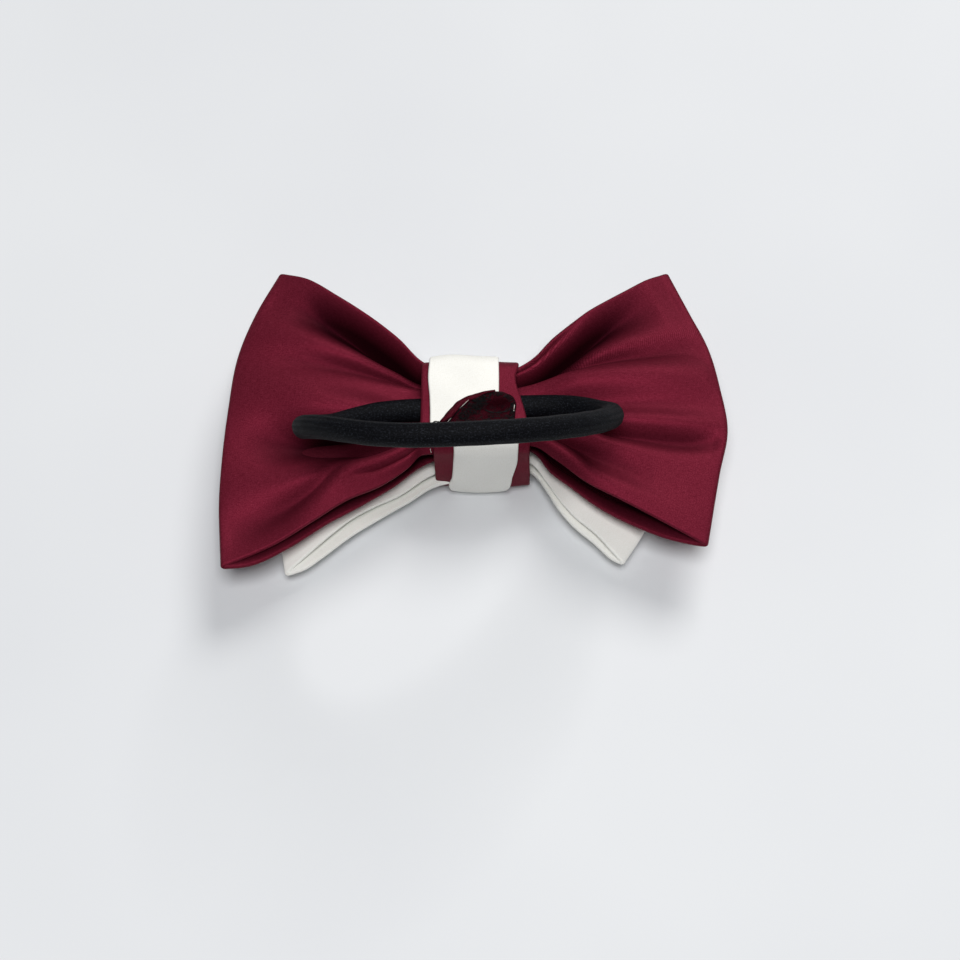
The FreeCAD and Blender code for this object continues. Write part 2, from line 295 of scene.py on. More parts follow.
def rgb(red, green, blue):
    """A colour from display values of 0 to 255."""
    def linear(value):
        value /= 255
        return value / 12.92 if value <= 0.04045 else ((value + 0.055) / 1.055) ** 2.4
    return (linear(red), linear(green), linear(blue), 1.0)


def satin(name, colour, deep, pale, roughness, sheen, bump, gloss, lustre,
          shade_depth=0.0, shadow=(0, 0, 0, 1)):
    """Polyester satin: fine diagonal twill lines, uneven yarns and a soft broad gloss.

    UVs are millimetres of cloth. Shadow is painted where the mesh's hollow attribute says,
    as strongly as shade_depth, and pieces without that attribute have none.
    """
    n = Nodes(name)
    cloth = n.add("ShaderNodeUVMap", uv_map="cloth").outputs["UV"]
    lines = n.add("ShaderNodeTexWave", {
        "Vector": n.stretch(cloth, (1, 1, 1), math.radians(52)), "Scale": 0.314 / TWILL,
        "Distortion": 0.9, "Detail": 2.0, "Detail Scale": 1.3, "Detail Roughness": 0.6},
        wave_type="BANDS", bands_direction="X", wave_profile="SIN").outputs["Fac"]
    warp = n.noise(n.stretch(cloth, (0.9, 7.0, 1)), 1.0, 3.0, 0.6)
    weft = n.noise(n.stretch(cloth, (7.5, 0.8, 1)), 1.0, 3.0, 0.6)
    grain = n.noise(n.stretch(cloth, (4.2, 4.2, 1)), 1.0, 2.0, 0.7)
    cloudy = n.noise(n.stretch(cloth, (0.09, 0.09, 1)), 1.0, 2.0, 0.5)
    yarns = n.math("ADD", n.math("MULTIPLY", lines, 0.16), n.math(
        "ADD", n.math("MULTIPLY", warp, 0.30), n.math("ADD", n.math("MULTIPLY", weft, 0.26),
                                                      n.math("MULTIPLY", grain, 0.48))))
    tone = n.ramp(yarns, (0.38, deep), (0.60, colour), (0.86, pale))
    shade = n.mix(n.math("MULTIPLY", cloudy, 0.22), tone, deep)
    # Painted shade: the point attribute darkens the colour towards the shadow colour, standing in for the
    # shade in the folds and inside the loops.
    painted_shade = n.add("ShaderNodeAttribute", attribute_name="painted_shade").outputs["Fac"]
    rough = n.add("ShaderNodeBump", {"Height": yarns, "Strength": bump, "Distance": 0.00012})
    n.surface({
        "Base Color": n.mix(n.math("MULTIPLY", painted_shade, shade_depth), shade, shadow),
        "Roughness": n.math("ADD", n.math("MULTIPLY", yarns, 0.16), roughness),
        "Sheen Weight": sheen, "Sheen Roughness": 0.35, "Sheen Tint": pale,
        "Specular IOR Level": gloss, "Specular Tint": pale, "Metallic": lustre,
        "Normal": rough.outputs["Normal"]})
    return n.material


def thread_material(name, colour, pale, roughness=0.45, gloss=0.5):
    """Spun thread: twisted plies that catch the light."""
    n = Nodes(name)
    place = n.add("ShaderNodeTexCoord").outputs["Object"]
    plies = n.noise(n.stretch(place, (2600, 2600, 2600)), 1.0, 2.0, 0.6)
    n.surface({"Base Color": n.ramp(plies, (0.35, colour), (0.7, pale)), "Roughness": roughness,
               "Specular IOR Level": gloss})
    return n.material


def braid_material():
    """Black braided textile: matt, blue-black, with pale specks where filaments shine."""
    n = Nodes("braided_black")
    cloth = n.add("ShaderNodeUVMap", uv_map="cloth").outputs["UV"]
    fibres = n.noise(n.stretch(cloth, (9, 5, 1), 0.6), 1.0, 3.0, 0.7)
    specks = n.noise(n.stretch(cloth, (2.6, 3.4, 1)), 1.0, 3.0, 0.75)
    base = n.ramp(fibres, (0.3, rgb(2, 2, 4)), (0.62, rgb(6, 7, 11)), (0.85, rgb(24, 26, 32)))
    bright = n.ramp(specks, (0.53, (0, 0, 0, 1)), (0.66, (1, 1, 1, 1)))
    rough = n.add("ShaderNodeBump", {"Height": fibres, "Strength": 0.5, "Distance": 0.00015})
    n.surface({"Base Color": n.mix(bright, base, rgb(44, 47, 54)), "Roughness": 0.6,
               "Specular IOR Level": 0.08, "Normal": rough.outputs["Normal"]})
    return n.material


# The two main satins carry painted shade: their shadow colours are mixed in over the folds' valleys and the
# loops' inner sides.
BURGUNDY = satin("burgundy_satin", rgb(105, 27, 44), rgb(73, 13, 27), rgb(146, 54, 75),
                 roughness=0.44, sheen=0.05, bump=0.35, gloss=0.25, lustre=0.34,
                 shade_depth=0.88, shadow=rgb(14, 1, 4))
IVORY = satin("ivory_satin", rgb(250, 249, 243), rgb(232, 230, 221), rgb(254, 254, 251),
              roughness=0.40, sheen=0.05, bump=0.18, gloss=0.35, lustre=0.0,
              shade_depth=0.15, shadow=rgb(150, 148, 136))
DARK_BURGUNDY = satin("burgundy_raw_edge", rgb(44, 8, 16), rgb(16, 2, 5), rgb(92, 28, 42),
                      roughness=0.55, sheen=0.05, bump=0.5, gloss=0.2, lustre=0.2)
WORN_BURGUNDY = satin("burgundy_folded_edge", rgb(66, 14, 25), rgb(34, 5, 11), rgb(120, 44, 60),
                      roughness=0.5, sheen=0.05, bump=0.5, gloss=0.2, lustre=0.3)
BLACK_THREAD = thread_material("black_thread", rgb(2, 2, 3), rgb(22, 22, 24), 0.5, 0.12)
# Pale thread, also used for painted highlights: pale lines on the black stitches where they catch the light.
PALE_THREAD_AND_GLINTS = thread_material("pale_thread_and_glints", rgb(196, 190, 180), rgb(236, 232, 224), 0.6)
BRAID = braid_material()

# ---- one loop of a bow

BACK, FRONT = 1, -1
PLACES_ALONG = 150          # rows of points from the knot to the fold
PLACES_ACROSS = 190
WAIST_ROWS = 12             # rows that cross the knot on each side of the strip
CREASE_ROWS = 4.2           # how far a fold's roundness reaches, in rows
CREASE_ROUNDS = 20
IN_KNOT = 7.0               # the cloth goes on into the knot to this distance, in millimetres


class Fold:
    """A ridge or a valley that runs out from the knot.

    Stations are (share of the way from the knot to the fold, place across the panel from
    -1 at its lower edge to 1 at its upper edge, height in millimetres, half width).
    """

    def __init__(self, *stations):
        self.out, self.across, self.height, self.width = np.array(stations, float).T

    def rise(self, out, across):
        centre = smooth_steps(self.out, self.across, out)
        height = smooth_steps(self.out, self.height, out)
        width = smooth_steps(self.out, self.width, out)
        return height * np.exp(-((across - centre) / width) ** 2)


def coons(bottom, top, knot, fold, out, across):
    """A surface between four edge curves. Out and across are grids from 0 to 1."""
    low, high = through(bottom, out), through(top, out)
    near, far = through(knot, across), through(fold, across)
    s, t = out[..., None], across[..., None]
    corners = ((1 - s) * (1 - t) * near[:, :1] + (1 - s) * t * near[:, -1:]
               + s * (1 - t) * far[:, :1] + s * t * far[:, -1:])
    return (1 - t) * low + t * high + (1 - s) * near + s * far - corners


class Panel:
    """One side of a loop: its two long edges, its edge at the knot, and its folds.

    Edge points are (share of the reach, share of the half height, height above the knot's
    front face in millimetres).
    """

    def __init__(self, side, level, bottom, top, knot, fold, folds, gathers, seed):
        self.side, self.level, self.folds = side, level, folds
        self.bottom, self.top, self.knot, self.fold = bottom, top, knot, fold
        self.gathers, self.seed = gathers, seed

    def grid(self, reach, half_height, out, across):
        size = np.array([self.side * reach, half_height, 1])
        bottom, top, knot, fold = (np.array(edge) * size
                                   for edge in (self.bottom, self.top, self.knot, self.fold))
        out, across = np.broadcast_arrays(out[:, None], across[None, :])
        points = coons(bottom, top, knot, fold, out, (across + 1) / 2)
        lift = sum(fold.rise(out, across) for fold in self.folds)
        fade = ease(out / 0.10) * 0.2 + 0.8
        lift = lift * fade
        small = self.gathers * np.exp(-out / 0.16) * np.sin(
            across * 21 + 1.6 * np.sin(across * 5 + self.seed) + self.seed)
        uneven = 0.16 * wave_noise(self.seed, across, out, 7.0) * ease(out / 0.2)
        points[..., 2] += (self.level * (lift + small) + uneven) * ease((1 - out) / 0.07)
        # Painted shade: the deeper a valley, the darker its colour, fading out near the loop's fold. It
        # stands in for the shade that falls in the folds.
        painted_shade = np.clip((-lift - 0.3) / 3.6, 0, 1) ** 0.8 * ease((1 - out) / 0.12)
        return np.concatenate([points, painted_shade[..., None]], axis=-1)


def strip(panels, reach, half_height, hem, thickness, name):
    """A bow's cloth as one closed strip: right back, right front, left front, left back."""
    across, full = edge_shape(PLACES_ACROSS, hem, half_height)
    out = np.linspace(0, 1, PLACES_ALONG)
    right_back, right_front, left_front, left_back = (
        panel.grid(reach, half_height, out, across) for panel in panels)
    middle_rows = np.linspace(0, 1, WAIST_ROWS + 2)[1:-1][:, None, None]
    front_waist = right_front[0] * (1 - middle_rows) + left_front[0] * middle_rows
    back_waist = left_back[0] * (1 - middle_rows) + right_back[0] * middle_rows
    grid = np.concatenate([right_back, right_front[-2::-1], front_waist, left_front,
                           left_back[-2::-1], back_waist])
    # The last column is the painted shade of the valleys.
    painted_shade, grid = grid[..., 3], grid[..., :3]
    turn = np.zeros(len(grid))
    first = PLACES_ALONG - 1
    second = first + PLACES_ALONG - 1 + len(front_waist) + PLACES_ALONG
    rows = np.arange(len(grid))
    for crease in (first, second):
        turn += np.exp(-((rows - crease) / CREASE_ROWS) ** 2)
    for _ in range(CREASE_ROUNDS):
        grid = blur_along(grid, np.clip(turn, 0, 1))
    return cloth_solid(name, grid, thickness * full[None, :], painted_shade=painted_shade)


# ---- the outer, burgundy bow

def outer_bow():
    low, high = box("outer_bow_satin")
    reach, half_height = high[0], high[1]
    start = IN_KNOT / reach

    front_folds = [
        Fold((0, 0.5, -0.8, 0.14), (0.4, 0.42, -1.0, 0.2), (1, 0.4, 0, 0.2)),
        Fold((0, -0.45, -0.8, 0.14), (0.4, -0.40, -0.8, 0.2), (1, -0.4, 0, 0.2)),
        Fold((0, -0.72, 2.0, 0.10), (0.5, -0.78, 3.2, 0.08), (0.85, -0.82, 1.6, 0.08), (1, -0.9, 0, 0.1)),
    ]

    left_fold = [(0.992, -1.062, 13.0), (1.010, -0.60, 13.6), (1.006, -0.32, 14.0), (0.990, 0.03, 14.4),
                 (0.958, 0.43, 14.6), (0.895, 0.72, 15.0), (0.800, 1.030, 15.2)]
    left_back = Panel(-1, BACK,
        bottom=[(start, -0.265, 13.4), (0.216, -0.29, 14.0), (0.27, -0.40, 14.8), (0.36, -0.52, 15.4),
                (0.50, -0.632, 15.8), (0.625, -0.765, 15.4), (0.76, -0.90, 14.4), (0.992, -1.062, 13.0)],
        top=[(start, 0.27, 16.6), (0.216, 0.324, 17.5), (0.30, 0.46, 18.2), (0.385, 0.575, 18.9),
             (0.55, 0.78, 19.2), (0.675, 0.935, 17.8), (0.800, 1.030, 15.2)],
        knot=[(start, -0.265, 13.4), (start, -0.13, 12.8), (start, 0.0, 12.6),
              (start, 0.12, 13.4), (start, 0.27, 16.6)],
        fold=left_fold,
        folds=[
            Fold((0, 0.97, 0.5, 0.08), (0.3, 0.97, 0.9, 0.09), (0.7, 0.98, 0.5, 0.10), (1, 1.0, 0, 0.1)),
            Fold((0, 0.74, -4.6, 0.11), (0.15, 0.73, -6.6, 0.13), (0.3, 0.74, -7.0, 0.14),
                 (0.5, 0.77, -5.8, 0.15), (0.68, 0.78, -3.8, 0.16), (0.84, 0.76, -1.4, 0.18),
                 (1, 0.74, 0, 0.2)),
            Fold((0, 0.60, 0.3, 0.08), (0.3, 0.58, 0.8, 0.10), (0.6, 0.56, 1.0, 0.14),
                 (1, 0.55, 0.2, 0.2)),
            Fold((0, 0.58, -1.0, 0.06), (0.15, 0.50, -1.9, 0.08), (0.4, 0.44, -1.9, 0.10),
                 (0.7, 0.40, -1.3, 0.12), (0.95, 0.38, -0.3, 0.16)),
            Fold((0, 0.10, -0.2, 0.16), (0.15, 0.02, 0.3, 0.18), (0.35, -0.06, 2.4, 0.20),
                 (0.65, 0.02, 1.9, 0.23), (1, 0.2, 0.2, 0.25)),
            Fold((0, -0.40, -3.2, 0.13), (0.2, -0.40, -5.8, 0.14), (0.38, -0.38, -6.2, 0.16),
                 (0.56, -0.31, -5.0, 0.17), (0.74, -0.24, -2.8, 0.19), (0.92, -0.2, -0.4, 0.2),
                 (1, -0.2, 0, 0.22)),
            Fold((0, -0.72, 1.4, 0.16), (0.2, -0.72, 2.2, 0.16), (0.45, -0.68, 1.7, 0.14),
                 (0.75, -0.58, 0.9, 0.14), (1, -0.52, 0.2, 0.2)),
            Fold((0, -0.82, -0.4, 0.04), (0.15, -0.80, -1.1, 0.045), (0.35, -0.78, -0.9, 0.05),
                 (0.5, -0.74, 0.0, 0.06)),
            Fold((0.2, -0.50, 0.0, 0.06), (0.4, -0.60, -0.9, 0.08), (0.6, -0.72, -1.9, 0.10),
                 (0.8, -0.78, -1.4, 0.12), (1, -0.80, -0.1, 0.14)),
        ], gathers=0.22, seed=3)
    left_front = Panel(-1, FRONT,
        bottom=[(start, -0.25, 10.4), (0.20, -0.30, 10.8), (0.32, -0.478, 12.0), (0.455, -0.630, 12.6),
                (0.578, -0.748, 12.8), (0.715, -0.902, 12.8), (0.865, -1.030, 12.7), (0.992, -1.062, 13.0)],
        top=[(start, 0.27, 9.2), (0.34, 0.52, 9.6), (0.55, 0.78, 10.2), (0.70, 0.95, 12.4),
             (0.800, 1.030, 15.2)],
        knot=[(start, -0.235, 9.2), (start, 0.0, 8.8), (start, 0.27, 9.2)],
        fold=left_fold,
        folds=front_folds, gathers=0.2, seed=5)

    right_fold = [(0.903, -0.920, 13.5), (0.963, -0.412, 14.2), (1.000, -0.13, 14.8), (0.976, 0.19, 15.0),
                  (0.936, 0.475, 15.0), (0.871, 0.715, 15.1), (0.783, 1.035, 15.2)]
    right_back = Panel(1, BACK,
        bottom=[(start, -0.215, 13.6), (0.236, -0.235, 14.2), (0.315, -0.345, 15.2), (0.435, -0.512, 15.6),
                (0.563, -0.63, 15.6), (0.74, -0.785, 14.8), (0.903, -0.920, 13.5)],
        top=[(start, 0.275, 16.8), (0.212, 0.334, 17.6), (0.32, 0.515, 18.0), (0.415, 0.645, 18.4),
             (0.585, 0.838, 17.9), (0.70, 0.965, 16.6), (0.783, 1.035, 15.2)],
        knot=[(start, -0.215, 13.6), (start, -0.11, 12.9), (start, 0.0, 12.6),
              (start, 0.13, 13.6), (start, 0.275, 16.8)],
        fold=right_fold,
        folds=[
            Fold((0, 0.89, -0.7, 0.035), (0.15, 0.90, -1.3, 0.04), (0.34, 0.95, -0.6, 0.05),
                 (0.5, 1, 0, 0.05)),
            Fold((0, 0.66, -3.4, 0.09), (0.12, 0.62, -5.8, 0.11), (0.3, 0.66, -6.4, 0.12),
                 (0.48, 0.74, -5.2, 0.13), (0.65, 0.78, -3.0, 0.15), (0.85, 0.78, -0.6, 0.2)),
            Fold((0, 0.57, -0.5, 0.05), (0.2, 0.50, -1.8, 0.07), (0.45, 0.45, -2.5, 0.09),
                 (0.7, 0.40, -2.2, 0.10), (1, 0.36, -0.4, 0.12)),
            Fold((0, 0.18, -0.1, 0.2), (0.14, 0.2, 0.4, 0.2), (0.35, 0.24, 2.0, 0.20),
                 (0.7, 0.22, 1.5, 0.2),
                 (1, 0.2, 0.2, 0.2)),
            Fold((0.1, 0.0, 0.0, 0.12), (0.45, -0.02, -1.0, 0.14), (0.75, -0.03, -0.8, 0.13),
                 (1, -0.03, -0.1, 0.14)),
            Fold((0.2, -0.22, 0.0, 0.06), (0.5, -0.20, 1.0, 0.09), (0.8, -0.19, 0.9, 0.09),
                 (1, -0.18, 0.2, 0.09)),
            Fold((0.3, -0.32, 0.0, 0.04), (0.5, -0.35, -1.9, 0.07), (0.8, -0.33, -1.9, 0.08),
                 (1, -0.28, -0.3, 0.08)),
            Fold((0, -0.55, -0.6, 0.1), (0.2, -0.60, -2.0, 0.10), (0.45, -0.64, -1.5, 0.13),
                 (0.7, -0.7, 0, 0.14)),
            Fold((0, -0.86, 1.4, 0.12), (0.25, -0.86, 1.7, 0.11), (0.6, -0.88, 0.8, 0.11),
                 (1, -0.9, 0, 0.12)),
        ], gathers=0.2, seed=8)
    right_front = Panel(1, FRONT,
        bottom=[(start, -0.17, 10.4), (0.214, -0.20, 10.8), (0.30, -0.368, 11.0), (0.372, -0.468, 11.2),
                (0.478, -0.616, 11.6), (0.616, -0.75, 12.0), (0.743, -0.842, 12.4), (0.903, -0.920, 13.5)],
        top=[(start, 0.27, 9.2), (0.34, 0.52, 9.4), (0.55, 0.80, 10.0), (0.70, 0.96, 12.4),
             (0.783, 1.035, 15.2)],
        knot=[(start, -0.15, 8.9), (start, 0.0, 8.7), (start, 0.27, 9.2)],
        fold=right_fold,
        folds=front_folds, gathers=0.2, seed=11)

    piece = strip((right_back, right_front, left_front, left_back), reach, half_height,
                  hem=0.55, thickness=1.05, name="outer_bow_cloth")
    piece.data.materials.append(BURGUNDY)
    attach(piece, "bow")
    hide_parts("outer_bow_satin", "outer_bow_interfacing", "outer_bow_gathering_thread")


# ---- the inner, ivory bow

def inner_front_folds(rise):
    """The front's shallow folds. All but the top one rise a little half way out."""
    return [
        Fold((0, 0.7, 0.2, 0.14), (0.4, 0.62, 0.6, 0.16), (1, 0.5, 0, 0.2)),
        Fold((0, 0.36, -0.4, 0.1), (0.4, 0.32 + rise, -0.9, 0.14), (0.8, 0.3, -0.3, 0.2), (1, 0.3, 0, 0.2)),
        Fold((0, 0.0, 0.3, 0.16), (0.4, rise, 0.5, 0.2), (1, 0.0, 0, 0.2)),
        Fold((0, -0.38, -0.4, 0.1), (0.4, -0.34 + rise, -0.9, 0.14), (0.8, -0.3, -0.3, 0.2),
             (1, -0.3, 0, 0.2)),
        Fold((0, -0.74, 0.2, 0.14), (0.4, -0.68 + rise, 0.5, 0.16), (1, -0.6, 0, 0.2)),
    ]


def inner_bow():
    low, high = box("inner_bow_satin")
    reach, half_height = high[0], high[1]
    start = IN_KNOT / reach

    upper_valley = Fold((0, 0.45, -0.3, 0.14), (0.3, 0.46, -0.8, 0.16), (0.7, 0.42, -0.5, 0.2),
                        (1, 0.4, 0, 0.2))

    left_fold = [(0.900, -1.130, 4.6), (0.925, -0.89, 5.2), (0.975, -0.52, 5.2), (0.998, -0.15, 5.0),
                 (0.98, 0.30, 5.0), (0.92, 0.67, 5.0), (0.80, 1.0, 5.2)]
    left_back = Panel(-1, BACK,
        bottom=[(start, -0.32, 6.6), (0.21, -0.35, 6.6), (0.37, -0.525, 6.7), (0.47, -0.60, 6.8),
                (0.58, -0.70, 6.8), (0.683, -0.835, 6.6), (0.785, -0.98, 6.0), (0.900, -1.130, 4.6)],
        top=[(start, 0.33, 6.8), (0.4, 0.55, 6.8), (0.65, 0.84, 6.4), (0.80, 1.0, 5.2)],
        knot=[(start, -0.32, 6.6), (start, 0.0, 6.3), (start, 0.33, 6.8)],
        fold=left_fold,
        folds=[
            Fold((0, -0.75, 0.2, 0.16), (0.3, -0.78, 0.6, 0.14), (0.7, -0.80, 0.5, 0.14),
                 (1, -0.8, 0, 0.2)),
            Fold((0, -0.55, -0.3, 0.14), (0.3, -0.56, -0.9, 0.16), (0.7, -0.5, -0.5, 0.2),
                 (1, -0.5, 0, 0.2)),
            upper_valley,
        ], gathers=0.14, seed=2)
    left_front = Panel(-1, FRONT,
        bottom=[(start, -0.39, 5.1), (0.206, -0.415, 5.1), (0.32, -0.54, 5.0), (0.434, -0.648, 4.9),
                (0.58, -0.795, 4.7), (0.727, -0.985, 4.5), (0.80, -1.07, 4.4), (0.900, -1.130, 4.6)],
        top=[(start, 0.33, 3.0), (0.4, 0.55, 3.0), (0.65, 0.84, 3.6), (0.80, 1.0, 5.2)],
        knot=[(start, -0.355, 3.3), (start, 0.0, 3.4), (start, 0.33, 3.0)],
        fold=left_fold,
        folds=inner_front_folds(0.0), gathers=0.14, seed=4)

    right_fold = [(0.695, -1.040, 4.6), (0.795, -0.80, 5.2), (0.885, -0.46, 5.3), (0.955, -0.10, 5.0),
                  (0.945, 0.30, 5.0), (0.87, 0.67, 5.0), (0.755, 1.0, 5.2)]
    right_back = Panel(1, BACK,
        bottom=[(start, -0.21, 6.5), (0.262, -0.255, 6.5), (0.335, -0.40, 6.5), (0.39, -0.535, 6.5),
                (0.46, -0.675, 6.4), (0.562, -0.82, 6.3), (0.640, -0.955, 5.8), (0.695, -1.040, 4.6)],
        top=[(start, 0.33, 6.8), (0.4, 0.56, 6.8), (0.62, 0.84, 6.4), (0.755, 1.0, 5.2)],
        knot=[(start, -0.21, 6.5), (start, 0.0, 6.3), (start, 0.33, 6.8)],
        fold=right_fold,
        folds=[
            Fold((0, -0.72, 0.2, 0.14), (0.4, -0.74, 0.4, 0.16), (1, -0.7, 0, 0.2)),
            Fold((0, -0.45, -0.3, 0.14), (0.3, -0.46, -0.8, 0.16), (0.7, -0.4, -0.5, 0.2),
                 (1, -0.4, 0, 0.2)),
            upper_valley,
        ], gathers=0.14, seed=6)
    right_front = Panel(1, FRONT,
        bottom=[(start, -0.265, 5.1), (0.262, -0.30, 5.1), (0.335, -0.45, 5.1), (0.39, -0.60, 5.1),
                (0.46, -0.735, 5.0), (0.562, -0.875, 4.8), (0.640, -0.99, 4.5), (0.695, -1.040, 4.6)],
        top=[(start, 0.33, 3.0), (0.4, 0.56, 3.0), (0.62, 0.84, 3.6), (0.755, 1.0, 5.2)],
        knot=[(start, -0.235, 3.4), (start, 0.0, 3.4), (start, 0.33, 3.0)],
        fold=right_fold,
        folds=inner_front_folds(0.02), gathers=0.14, seed=9)

    piece = strip((right_back, right_front, left_front, left_back), reach, half_height,
                  hem=0.5, thickness=1.0, name="inner_bow_cloth")
    piece.data.materials.append(IVORY)
    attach(piece, "bow")
    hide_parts("inner_bow_satin", "inner_bow_interfacing", "inner_bow_gathering_thread")


# ---- the knot

SIDE_INSET, BACK_INSET = 0.55, 0.7      # from the CAD box to the middle of the cloth
WRAP_THICKNESS = 0.85


def knot_wrap(name, node, front_inset, corner, stations, crown, seed, wrinkle):
    """A band that goes once round the waist of the bow, inside its CAD node's box.

    Stations are (y, z, middle, half width) in millimetres, in order from the middle of its
    back face towards +Y, so that it may shift and narrow on its way round.
    """
    box_low, box_high = box(node)
    half_depth, low, high = box_high[1] - SIDE_INSET, box_low[2] + front_inset, box_high[2] - BACK_INSET
    straight_y, straight_z = half_depth - corner, (high - low) / 2 - corner
    centre = (high + low) / 2
    path = []
    for centre_y, centre_z, first in ((straight_y, straight_z, 90), (straight_y, -straight_z, 0),
                                      (-straight_y, -straight_z, -90), (-straight_y, straight_z, 180)):
        for step in range(13):
            turn = math.radians(first - step * 90 / 12)
            path.append((centre_y + corner * math.cos(turn), centre + centre_z + corner * math.sin(turn)))
    path = np.array([(0.0, high)] + path + [(0.0, high)])
    steps = np.linalg.norm(np.diff(path, axis=0), axis=1)
    round_it = np.concatenate([[0], np.cumsum(steps)])
    rows = np.linspace(0, round_it[-1], 361)[:-1]
    line = np.stack([np.interp(rows, round_it, path[:, 0]), np.interp(rows, round_it, path[:, 1])], axis=1)
    places = [rows[np.argmin(np.hypot(line[:, 0] - y, line[:, 1] - z))] for y, z, _, _ in stations]
    places = np.array([places[-1] - round_it[-1]] + places + [places[0] + round_it[-1]])
    sizes = np.array([stations[-1][2:]] + [station[2:] for station in stations] + [stations[0][2:]])
    middle, half = smooth_steps(places, sizes[:, 0], rows), smooth_steps(places, sizes[:, 1], rows)
    line = smooth_closed(line, 5)
    y, z = line[:, 0], line[:, 1]
    outward = np.stack([np.roll(z, 1) - np.roll(z, -1), np.roll(y, -1) - np.roll(y, 1)], axis=1)
    outward /= np.linalg.norm(outward, axis=1, keepdims=True)
    across, full = edge_shape(90, 0.45, 8.0)
    grid = np.empty((len(rows), len(across), 3))
    grid[..., 0] = middle[:, None] + half[:, None] * across[None, :]
    lift = crown * (1 - across[None, :] ** 2) + wrinkle * wave_noise(
        seed, grid[..., 0], np.broadcast_to(rows[:, None], grid.shape[:2]), 0.55)
    grid[..., 1] = y[:, None] + outward[:, :1] * lift
    grid[..., 2] = z[:, None] + outward[:, 1:] * lift
    return cloth_solid(name, grid, WRAP_THICKNESS * full[None, :])


def smooth_closed(points, times):
    for _ in range(times):
        points = (np.roll(points, 1, axis=0) + 2 * points + np.roll(points, -1, axis=0)) / 4
    return points


def knot():
    strap = knot_wrap("centre_strap_cloth", "centre_strap", 0.5, 2.6, [
        (0.5, 19.5, -0.9, 9.75), (5.2, 19.5, -1.45, 9.2), (9, 19, -1.1, 9.5), (9.5, 10, -1.1, 9.5),
        (8, 1.3, -0.8, 9.8), (0, 1.3, 0.0, 10.2), (-7, 1.3, 0.8, 9.6), (-9.5, 2.5, 1.35, 9.35),
        (-9.5, 8, 1.3, 9.3), (-9.5, 15, 1.1, 9.3), (-9.0, 19, 1.1, 9.3), (-5.6, 19.5, -0.4, 10.3),
        (-3.5, 19.5, -0.45, 10.25)], crown=0.3, seed=21, wrinkle=0.10)
    strap.data.materials.append(BURGUNDY)
    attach(strap, "bow")
    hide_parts("centre_strap")

    band = knot_wrap("centre_band_cloth", "centre_band", 0.45, 2.9, [
        (0.5, 20.3, -2.25, 6.7), (5, 20.3, -2.4, 6.9), (10, 19.5, -2.3, 6.75), (10.3, 10, -2.3, 6.8),
        (8, 0.5, -2.0, 6.8), (0, 0.5, -0.5, 6.7), (-7, 0.5, 0.3, 5.6), (-9.7, 1.0, 0.5, 4.7),
        (-10.3, 3.2, 0.6, 5.8), (-10.3, 8, 1.25, 5.95), (-10.3, 14, 1.8, 6.2), (-9.3, 19.8, 1.95, 6.25),
        (-5.4, 20.3, -2.2, 6.65), (-3.5, 20.3, -2.2, 6.65)],
        crown=0.4, seed=24, wrinkle=0.13)
    band.data.materials.append(IVORY)
    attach(band, "bow")
    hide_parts("centre_band")


# ---- the elastic

LEAN = math.radians(33)                 # from upright, towards -Y
SAG = 0.95                              # millimetres towards -Y
TWIST = 0.10                            # turns the left end a little edge-on
BRAID_RADIUS = 2.09                     # to the bottom of the plaits
PLAITS = 12
PLAIT_LENGTH = 7.5


def elastic_path(rows):
    """Points round the closed elastic and the two directions across it.

    It stands on a straight run in the knot, along the joint's axis and about its origin, and
    four tangent arcs close it. An arc is (x, z of its centre, radius, first angle).
    """
    arcs = [(10.4, 15.0, 15.0, -90), (-6.9, 15.0, 32.3, 0), (-6.9, 21.9, 25.4, 90), (-10.4, 21.9, 21.9, 180)]
    points = [(x, 0.0) for x in np.linspace(0, 10.4, 40)[:-1]]
    for x, z, radius, first in arcs:
        for step in range(160):
            turn = math.radians(first + 90 * step / 160)
            points.append((x + radius * math.cos(turn), z + radius * math.sin(turn)))
    points += [(x, 0.0) for x in np.linspace(-10.4, 0, 40)]
    points = np.array(points)
    steps = np.linalg.norm(np.diff(points, axis=0), axis=1)
    along = np.concatenate([[0], np.cumsum(steps)])
    where = np.linspace(0, along[-1], rows + 1)[:-1]
    flat = np.stack([np.interp(where, along, points[:, axis]) for axis in (0, 1)], axis=1)
    flat = smooth_closed(flat, 6)
    joint = frame["joints"][0]
    lean, yaw = LEAN, math.atan2(joint["axis"][1], joint["axis"][0])
    side = np.array([math.cos(yaw), math.sin(yaw), 0])
    up = np.array([math.sin(yaw) * math.sin(lean), -math.cos(yaw) * math.sin(lean), math.cos(lean)])
    normal = np.cross(side, up)
    line = np.array(joint["pos_m"]) / MM + flat[:, :1] * side + flat[:, 1:] * up
    line[:, 1] -= SAG * ease(flat[:, 1] / 9)              # outside the knot it hangs a little
    line[:, 1] += TWIST * (flat[:, 1] - 22) * np.exp(-((flat[:, 0] + 33) / 10) ** 2)
    tangent = np.roll(line, -1, axis=0) - np.roll(line, 1, axis=0)
    tangent /= np.linalg.norm(tangent, axis=1, keepdims=True)
    return line, np.cross(tangent, normal), normal, where, along[-1]


